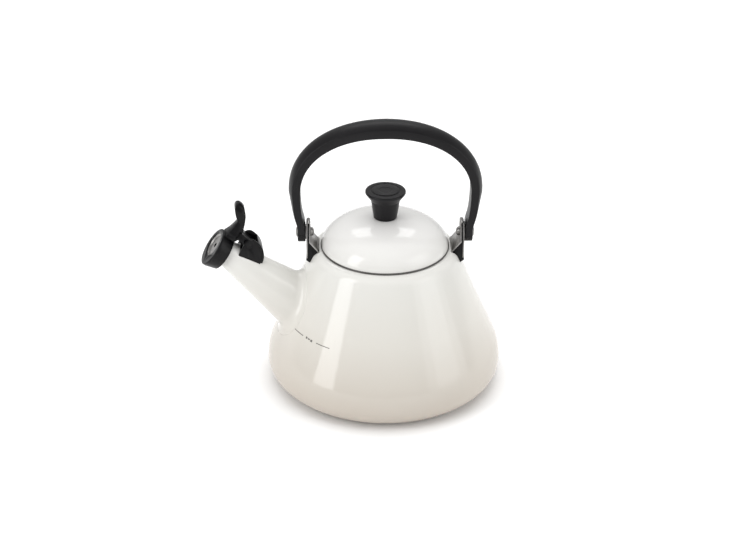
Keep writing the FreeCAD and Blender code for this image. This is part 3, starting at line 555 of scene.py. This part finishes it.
steel = make_steel("stainless_satin_rolled", "#8E8C8A", "#A9A7A5")
# A darker copy of the same steel for the lid's edge band: painted reflection of the dark surroundings and
# painted shade in the gap under the lid.
band_steel_painted_reflection = make_steel("stainless_band_painted_dark_reflection", "#4B4A48", "#6E6C6A")
band_low, band_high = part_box("lid_rim")
band_r = band_high.x / MM
BAND_EDGE_ROUND = 0.24
CRIMP_GAP = 0.05
band_outline = rounded([
    (MOUTH_R, band_low.z / MM, 0), (band_r, band_low.z / MM, BAND_EDGE_ROUND),
    (band_r, band_high.z / MM, BAND_EDGE_ROUND), (LID_R + CRIMP_GAP, band_high.z / MM, 0),
    (LID_R + CRIMP_GAP, LID_SEAT_Z - CRIMP_GAP, 0), (MOUTH_R, LID_SEAT_Z - CRIMP_GAP, 0)])
lid_band = make_piece("lid_edge_band", *turned(band_outline, 192), band_steel_painted_reflection)
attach(lid_band, "lid")
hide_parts("lid_rim")

for node_name in ("lid_collar", "knob_washer", "knob_screw"):
    frame["nodes"][node_name].data.materials.clear()
    frame["nodes"][node_name].data.materials.append(steel)

# ======== Knob ========
# Moulded phenolic, screwed on from inside the lid. A tapered neck flares to a flat lip that
# fingers lift by; the top is turned in two faint rings round a plain centre.

knob_low, knob_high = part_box("lid_knob")
KNOB_TOP_Z = knob_high.z / MM
KNOB_FOOT_Z = knob_low.z / MM
KNOB_LIP_R = knob_high.x / MM
KNOB_NECK_R = 11.7
KNOB_FOOT_R = 9.4
knob_outline = rounded([
    (0, KNOB_FOOT_Z + 0.6, 0), (KNOB_FOOT_R - 2.2, KNOB_FOOT_Z + 0.6, 0), (KNOB_FOOT_R - 1.6, KNOB_FOOT_Z, 0),
    (KNOB_FOOT_R, KNOB_FOOT_Z, 0.9), (KNOB_NECK_R, KNOB_TOP_Z - 8.6, 1.0),
    (KNOB_LIP_R, KNOB_TOP_Z - 2.3, 0.7),
    (KNOB_LIP_R - 0.1, KNOB_TOP_Z - 0.55, 0.9), (12.2, KNOB_TOP_Z - 0.25, 0), (11.9, KNOB_TOP_Z - 0.55, 0.2),
    (11.2, KNOB_TOP_Z - 0.55, 0.2), (10.9, KNOB_TOP_Z - 0.15, 0), (5.2, KNOB_TOP_Z, 0.0),
    (4.9, KNOB_TOP_Z - 0.25, 0.1), (0, KNOB_TOP_Z - 0.2, 0)])


def make_phenolic(name, dark, light, rough_low, rough_high, level):
    """Black phenolic moulding: near black, a soft sheen broken by the mould's fine grain."""
    material, tree, shader, place = new_material(name)
    grain = add_node(tree, "ShaderNodeTexNoise", inputs={"Vector": place, "Scale": 1500.0, "Detail": 3.0})
    flow = add_node(tree, "ShaderNodeTexNoise", inputs={"Vector": place, "Scale": 35.0, "Detail": 2.0})
    ramp = add_node(tree, "ShaderNodeValToRGB", inputs={"Fac": flow.outputs["Fac"]})
    ramp.color_ramp.elements[0].position = 0.3
    ramp.color_ramp.elements[0].color = linear_rgba(dark)
    ramp.color_ramp.elements[1].position = 0.7
    ramp.color_ramp.elements[1].color = linear_rgba(light)
    tree.links.new(ramp.outputs["Color"], shader.inputs["Base Color"])
    rough = add_node(tree, "ShaderNodeMapRange", inputs={
        "Value": flow.outputs["Fac"], "To Min": rough_low, "To Max": rough_high})
    tree.links.new(rough.outputs["Result"], shader.inputs["Roughness"])
    bump = add_node(tree, "ShaderNodeBump", inputs={
        "Height": grain.outputs["Fac"], "Strength": 0.15, "Distance": 0.0001})
    tree.links.new(bump.outputs["Normal"], shader.inputs["Normal"])
    shader.inputs["IOR"].default_value = 1.5
    shader.inputs["Specular IOR Level"].default_value = level
    return material


grip_black = make_phenolic("phenolic_satin_black", "#0D0C0E", "#141315", 0.34, 0.42, 0.22)
knob = make_piece("lid_knob_moulding", *turned(knob_outline, 128), grip_black)
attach(knob, "lid")
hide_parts("lid_knob")

# ======== Bow handle ========
# One phenolic moulding with a crowned outer face between two crisp ridges and a flat inner face.
# Its legs end in round eyes that turn on the pivot rivets.

handle_joint = [joint for joint in frame["joints"] if joint["name"] == "handle_fold"][0]
PIVOT_Z = handle_joint["pos_m"][2] / MM
BOW_HALF_W = 67.9
BOW_RISE = 48.8
BOW_WIDEST_Z = 168.0
BOW_POWER = 2.15
GRIP = (7.8, 3.8, 22.0)
SIDE = (6.3, 3.1, 19.4)
LEG = (6.3, 0.3, 16.2)
LEG_INNER_X = 64.2


def bow_station(share):
    """Arch section from 0 at the side to 1 at the top: inner point, angle, flat, crown, depth."""
    turn = math.pi / 2 * share
    across = max(math.cos(turn), 0.0) ** (2 / BOW_POWER)
    up = math.sin(turn) ** (2 / BOW_POWER)
    angle = math.atan2(up ** (BOW_POWER - 1) / BOW_RISE, across ** (BOW_POWER - 1) / BOW_HALF_W)
    sizes = [side + (grip - side) * share for side, grip in zip(SIDE, GRIP)]
    return (BOW_HALF_W * across, BOW_WIDEST_Z + BOW_RISE * up), angle, sizes


# share of the leg's height above the pivot, inner face beyond the leg's, and lean in degrees
leg_shape = [(0.0, 0.0, 0.0), (0.12, 0.1, -3.0), (0.27, 0.8, -9.0), (0.42, 2.2, -9.0), (0.6, 3.1, -4.0),
             (0.8, 3.6, -1.0)]


def leg_station(share, beyond, degrees):
    depth = LEG[2] + (SIDE[2] - LEG[2]) * share ** 0.5
    crown = LEG[1] + (SIDE[1] - LEG[1]) * share ** 1.5
    inner = (LEG_INNER_X + beyond, PIVOT_Z + (BOW_WIDEST_Z - PIVOT_Z) * share)
    return inner, math.radians(degrees), [LEG[0] - LEG[1] - 0.1 * (1 - share), crown, depth]


stations = [leg_station(*row) for row in leg_shape] + [bow_station(part / 28) for part in range(29)]


def smooth_between(rows, count):
    """Catmull-Rom resampling of station rows, so the leg runs into the arch without a kink."""
    flat = [[*inner, angle, *sizes] for inner, angle, sizes in rows]
    out = []
    for index in range(len(flat) - 1):
        before = flat[max(index - 1, 0)]
        first = flat[index]
        second = flat[index + 1]
        after = flat[min(index + 2, len(flat) - 1)]
        for part in range(count):
            t = part / count
            out.append([0.5 * (2 * b + (c - a) * t + (2 * a - 5 * b + 4 * c - d) * t * t
                               + (3 * b - a - 3 * c + d) * t ** 3)
                        for a, b, c, d in zip(before, first, second, after)])
    out.append(flat[-1])
    return out


leg_rows = smooth_between(stations[:7], 4)
half_rows = leg_rows[:-1] + [[*inner, angle, *sizes] for inner, angle, sizes in stations[6:]]
RIDGE_ROUND = 0.5
INNER_ROUND = 1.1


def bow_section(row, side):
    """Closed ring of points: flat inside, rounded edges, flat flanks, crowned outside."""
    inner_x, inner_z, angle, flat, crown, depth = row
    half = depth / 2
    ring = arc_points(INNER_ROUND - half, INNER_ROUND, INNER_ROUND, 180, 270, 4)
    ring += arc_points(half - INNER_ROUND, INNER_ROUND, INNER_ROUND, 270, 360, 4)
    ridge_x = half - 0.1 * RIDGE_ROUND
    ridge_z = flat - 0.3 * RIDGE_ROUND
    ring += [(half, flat / 2), (half, flat - RIDGE_ROUND), (ridge_x, ridge_z)]
    for part in range(8, -9, -1):
        across = (half - RIDGE_ROUND) * part / 8
        ring.append((across, flat + crown * (1 - (across / half) ** 2)))
    ring += [(-ridge_x, ridge_z), (-half, flat - RIDGE_ROUND), (-half, flat / 2)]
    points = []
    for across, outward in ring:
        points.append((side * (inner_x + outward * math.cos(angle)) * MM, across * MM,
                       (inner_z + outward * math.sin(angle)) * MM))
    return points


bow_vertices = []
ring_size = 0
bow_rows = [(row, 1) for row in half_rows] + [(row, -1) for row in reversed(half_rows[:-1])]
for row, side in bow_rows:
    ring = bow_section(row, side)
    ring_size = len(ring)
    bow_vertices += ring
bow_faces = [tuple(range(ring_size)), tuple(range(len(bow_vertices) - ring_size, len(bow_vertices)))]
for index in range(len(bow_rows) - 1):
    for step in range(ring_size):
        after = (step + 1) % ring_size
        low, high = index * ring_size, (index + 1) * ring_size
        bow_faces.append((low + step, low + after, high + after, high + step))
bow = make_piece("bow_handle", bow_vertices, bow_faces, grip_black)
EYE_BORE_R = 2.6
EYE_SINK_R = 5.0
EYE_SINK = 0.3
for side in (1, -1):
    eye_outline = rounded([
        (EYE_BORE_R, 0, 0), (LEG[2] / 2, 0, 0.6), (LEG[2] / 2, LEG[0], 0.8), (EYE_SINK_R + 0.4, LEG[0], 0),
        (EYE_SINK_R, LEG[0] - EYE_SINK, 0), (EYE_BORE_R, LEG[0] - EYE_SINK, 0)])
    place = Matrix.Translation((side * LEG_INNER_X * MM, 0, PIVOT_Z * MM)) @ Matrix.Rotation(
        side * math.pi / 2, 4, "Y")
    eye = make_piece("handle_eye_" + ("right" if side > 0 else "left"), *turned(eye_outline, 64), grip_black,
                     place)
    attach(eye, "handle")
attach(bow, "handle")
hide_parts("handle_bow")

# ======== Brackets and heat guards ========
# Stainless strips folded over at the top and spot-welded to the shoulder. Black moulded wedges
# sit in the fold to keep the handle's legs away from the hot body.

moulded_black = make_phenolic("phenolic_moulded_black", "#060607", "#0C0B0D", 0.28, 0.38, 0.2)


def softened(node_name, piece_name, material, width, body):
    """A copy of a CAD solid with its flat faces joined and its edges broken."""
    mesh = frame["nodes"][node_name].data.copy()
    mesh.materials.clear()
    mesh.materials.append(material)
    work = bmesh.new()
    work.from_mesh(mesh)
    bmesh.ops.remove_doubles(work, verts=work.verts, dist=2e-6)
    bmesh.ops.dissolve_limit(work, angle_limit=math.radians(1.5), verts=work.verts, edges=work.edges)
    work.to_mesh(mesh)
    work.free()
    piece = bpy.data.objects.new(piece_name, mesh)
    scene.collection.objects.link(piece)
    bevel = piece.modifiers.new("broken_edges", "BEVEL")
    bevel.width = width * MM
    bevel.segments = 2
    bevel.limit_method = "ANGLE"
    bevel.angle_limit = math.radians(32)
    bevel.harden_normals = True
    bpy.context.view_layer.update()
    bake_modifiers(piece)
    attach(piece, body)
    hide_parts(node_name)
    return piece


for side in ("front", "rear"):
    bracket = softened(side + "_bracket", side + "_folded_bracket", steel, 0.18, "kettle_body")
    guard = softened(side + "_heat_guard", side + "_wedge_guard", moulded_black, 0.35, "kettle_body")

# ======== Pivot rivets and washers ========
# Stainless shoulder rivets with domed heads outside the legs, upset inside over dished spring
# washers that give the handle its friction. A flat washer spaces each leg from its bracket.

RIVET_HEAD_H = 1.7
RIVET_SHANK_R = 2.5
RIVET_TAIL_R = 3.5


def pair_tree():
    """Geometry nodes: copies of a turned piece, spread evenly round Z at one height."""
    tree = bpy.data.node_groups.new("pivot_pair", "GeometryNodeTree")
    tree.interface.new_socket("Geometry", in_out="OUTPUT", socket_type="NodeSocketGeometry")
    for name, kind in (("Piece", "NodeSocketObject"), ("Height", "NodeSocketFloat"),
                       ("Count", "NodeSocketInt"), ("Finish", "NodeSocketMaterial")):
        tree.interface.new_socket(name, in_out="INPUT", socket_type=kind)
    given = add_node(tree, "NodeGroupInput").outputs
    start = add_node(tree, "ShaderNodeCombineXYZ", inputs={"Z": given["Height"]})
    ends = add_node(tree, "GeometryNodeMeshLine", inputs={
        "Count": given["Count"], "Start Location": start.outputs[0], "Offset": (0.0, 0.0, 0.0)})
    share = add_node(tree, "ShaderNodeMath", {"operation": "DIVIDE"}, {
        0: add_node(tree, "GeometryNodeInputIndex").outputs[0], 1: given["Count"]})
    angle = add_node(tree, "ShaderNodeMath", {"operation": "MULTIPLY"}, {0: share.outputs[0], 1: 2 * math.pi})
    turn = add_node(tree, "ShaderNodeCombineXYZ", inputs={"Z": angle.outputs[0]})
    source = add_node(tree, "GeometryNodeObjectInfo", inputs={"Object": given["Piece"]})
    placed = add_node(tree, "GeometryNodeInstanceOnPoints", inputs={
        "Points": ends.outputs[0], "Instance": source.outputs["Geometry"], "Rotation": turn.outputs[0]})
    plain = add_node(tree, "GeometryNodeRealizeInstances", inputs={"Geometry": placed.outputs[0]})
    finished = add_node(tree, "GeometryNodeSetMaterial", inputs={
        "Geometry": plain.outputs[0], "Material": given["Finish"]})
    add_node(tree, "NodeGroupOutput", inputs={0: finished.outputs[0]})
    return tree


pivot_pair = pair_tree()
pair_inputs = socket_names(pivot_pair)


def pair_of(name, outline, node_name):
    """One turned (radius, distance out) outline at both ends of the handle's pivot."""
    lying = Matrix.Rotation(math.pi / 2, 4, "Y")
    source = make_piece(name + "_source", *turned(outline, 48), steel, lying)
    pair = make_piece(name, [(0, 0, 0)], [], steel)
    modifier = pair.modifiers.new("both_ends", "NODES")
    modifier.node_group = pivot_pair
    for label, value in (("Piece", source), ("Height", PIVOT_Z * MM), ("Count", 2), ("Finish", steel)):
        modifier[pair_inputs[label]] = value
    bpy.context.view_layer.update()
    bake_modifiers(pair)
    bpy.data.objects.remove(source)
    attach(pair, "kettle_body")
    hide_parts("front_" + node_name, "rear_" + node_name)


rivet_low, rivet_high = [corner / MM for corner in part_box("rear_pivot_rivet")]
head_x = rivet_high.x - RIVET_HEAD_H
tail_x = rivet_low.x + RIVET_HEAD_H
quarter = [math.pi / 2 * part / 8 for part in range(9)]
rivet_outline = [(RIVET_TAIL_R * math.sin(t), tail_x - RIVET_HEAD_H * math.cos(t)) for t in quarter]
rivet_outline += [(RIVET_SHANK_R, tail_x), (RIVET_SHANK_R, head_x)]
rivet_outline += [(rivet_high.y * math.cos(t), head_x + RIVET_HEAD_H * math.sin(t)) for t in quarter[:-1]]
rivet_outline += [(0, rivet_high.x)]
pair_of("pivot_rivets", rivet_outline, "pivot_rivet")

dish_low, dish_high = [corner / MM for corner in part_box("rear_spring_washer")]
DISH_T = 0.5
pair_of("pivot_spring_washers", rounded([
    (RIVET_SHANK_R + 0.1, dish_low.x, 0), (RIVET_TAIL_R, dish_low.x, 0.3),
    (dish_high.y, dish_high.x - DISH_T, 0.15), (dish_high.y, dish_high.x, 0.15),
    (dish_high.y - 0.3, dish_high.x, 0), (RIVET_SHANK_R + 0.1, dish_low.x + DISH_T, 0)]), "spring_washer")

spacer_low, spacer_high = [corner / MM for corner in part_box("rear_spacer_washer")]
pair_of("pivot_spacer_washers", rounded([
    (RIVET_SHANK_R + 0.1, spacer_low.x, 0), (spacer_high.y, spacer_low.x, 0.15),
    (spacer_high.y, spacer_high.x, 0.15), (RIVET_SHANK_R + 0.1, spacer_high.x, 0)]), "spacer_washer")

# ======== Whistle clip ========
# Black moulding bolted to the top of the spout: a floor, a closed back and two fin-shaped cheeks
# that carry the whistle's hinge pin, whose ends are blacked.

clip = softened("whistle_clip", "whistle_saddle", moulded_black, 0.7, "kettle_body")
for node_name, material in (("clip_stud", steel), ("clip_nut", steel), ("whistle_hinge_pin", moulded_black)):
    frame["nodes"][node_name].data.materials.clear()
    frame["nodes"][node_name].data.materials.append(material)

# ======== Whistle cap ========
# Moulded cap over the mouth, with a thumb lever and an arm to the hinge pin. Two pressed steel
# discs in its face make the whistle.

cap = softened("whistle_cap", "whistle_moulding", moulded_black, 0.5, "whistle")
for node_name in ("whistle_outer_disc", "whistle_inner_disc"):
    frame["nodes"][node_name].data.materials.clear()
    frame["nodes"][node_name].data.materials.append(steel)

# ======== Floor, light and camera ========
# Plain pale floor under a large overhead softbox that gives no reflection. A strip high behind lights
# the top edges, a tall one stands on the left, and a wide weak pair on the right.


def make_floor():
    material, tree, shader, place = new_material("pale_studio_floor")
    cloud = add_node(tree, "ShaderNodeTexNoise", inputs={"Vector": place, "Scale": 3.0})
    ramp = add_node(tree, "ShaderNodeValToRGB", inputs={"Fac": cloud.outputs["Fac"]})
    ramp.color_ramp.elements[0].color = linear_rgba("#F4F4F4")
    ramp.color_ramp.elements[1].color = linear_rgba("#F8F8F8")
    tree.links.new(ramp.outputs["Color"], shader.inputs["Base Color"])
    shader.inputs["Roughness"].default_value = 0.9
    shader.inputs["Specular IOR Level"].default_value = 0.0
    return material


FLOOR_HALF = 12
FLOOR_Z = -0.0002
floor_corners = [(-FLOOR_HALF, -FLOOR_HALF, FLOOR_Z), (FLOOR_HALF, -FLOOR_HALF, FLOOR_Z),
                 (FLOOR_HALF, FLOOR_HALF, FLOOR_Z), (-FLOOR_HALF, FLOOR_HALF, FLOOR_Z)]
floor = make_piece("studio_floor", floor_corners, [(0, 1, 2, 3)], make_floor())
floor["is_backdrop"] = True

world = bpy.data.worlds.new("studio_room")
world.use_nodes = True
world.node_tree.nodes["Background"].inputs["Color"].default_value = linear_rgba("#FFFFFF")
world.node_tree.nodes["Background"].inputs["Strength"].default_value = 0.55
scene.world = world
scene.view_settings.view_transform = "Standard"


def add_softbox(name, place, aim, width, height, radiance):
    """A rectangular area light whose surface has the given radiance."""
    data = bpy.data.lights.new(name, "AREA")
    data.shape = "RECTANGLE"
    data.size = width
    data.size_y = height
    data.energy = radiance * math.pi * width * height
    light = bpy.data.objects.new(name, data)
    light.location = place
    light.rotation_euler = (Vector(aim) - Vector(place)).to_track_quat("-Z", "Y").to_euler()
    scene.collection.objects.link(light)
    return light


overhead = add_softbox("overhead_softbox", (0.0, 0.15, 1.7), (0, 0, 0.1), 2.2, 2.2, 1.62)
overhead.visible_glossy = False
add_softbox("high_back_strip", (0.0, 1.1, 1.5), (0, 0, 0.15), 1.3, 0.5, 2.6)
add_softbox("left_strip", (-1.0, -0.62, 0.5), (0, 0, 0.1), 0.46, 1.3, 3.6)
add_softbox("right_wide", (1.5, -0.75, 0.7), (0, 0, 0.1), 1.5, 1.5, 0.9)
add_softbox("right_core", (1.45, -0.75, 0.7), (0, 0, 0.1), 0.8, 1.2, 0.9)

YAW = math.radians(-2.0)
ROLL = math.radians(0.4)
turn_room = Matrix.Rotation(YAW, 4, "Z")
eye_at = turn_room @ Vector((0.0, -1.2074, 0.7533))
look_at = turn_room @ Vector((-0.01396, 0.0, 0.0942))
forward = (look_at - eye_at).normalized()
flat_right = forward.cross(Vector((0, 0, 1))).normalized()
flat_up = flat_right.cross(forward)
right = flat_right * math.cos(ROLL) + flat_up * math.sin(ROLL)
up = flat_up * math.cos(ROLL) - flat_right * math.sin(ROLL)
camera_data = bpy.data.cameras.new("camera")
camera_data.lens = 82.3
camera_data.sensor_width = 36.0
camera = bpy.data.objects.new("camera", camera_data)
camera.matrix_world = Matrix.Translation(eye_at) @ Matrix((
    (right.x, up.x, -forward.x, 0), (right.y, up.y, -forward.y, 0), (right.z, up.z, -forward.z, 0),
    (0, 0, 0, 1)))
scene.collection.objects.link(camera)
scene.camera = camera

low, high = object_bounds()
